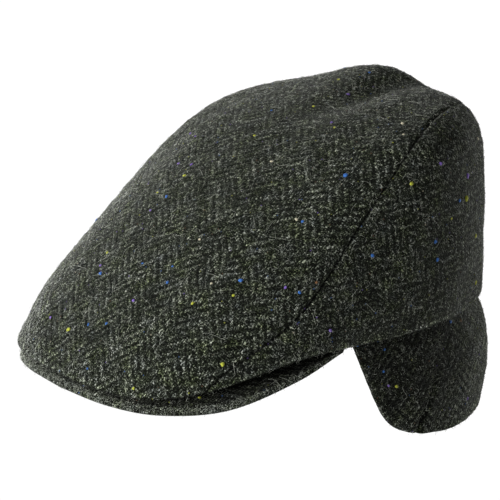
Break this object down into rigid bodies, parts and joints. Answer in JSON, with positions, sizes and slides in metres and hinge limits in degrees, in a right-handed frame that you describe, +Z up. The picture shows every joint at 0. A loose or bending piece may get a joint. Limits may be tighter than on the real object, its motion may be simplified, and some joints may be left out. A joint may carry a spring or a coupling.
{
  "type": "flat cap",
  "caption": "Soft tweed cap with a low crown drawn forward over a stiff peak, two side panels and an ear and neck flap folded down inside its lower edge.",
  "frame": {"origin": "middle of the head opening, level with the crown's lower edge over the ears", "axes": "+Z up out of the crown, +Y to the wearer's back, +X to the wearer's left; the peak points along -Y"},
  "size_m": [0.1828, 0.2547, 0.1724],
  "materials": {
    "crown_top_tweed": "brushed herringbone wool, dark green-grey with coloured flecks",
    "crown_side_tweed": "brushed herringbone wool, dark green-grey with coloured flecks",
    "peak_tweed": "brushed herringbone wool drawn tight over a board",
    "flap_tweed": "brushed herringbone wool, two layers"
  },
  "bodies": {
    "root": {"top_panel": "crown_top_tweed", "side_panel_left": "crown_side_tweed", "side_panel_right": "crown_side_tweed", "peak": "peak_tweed", "ear_flap": "flap_tweed"}
  },
  "joints": []
}
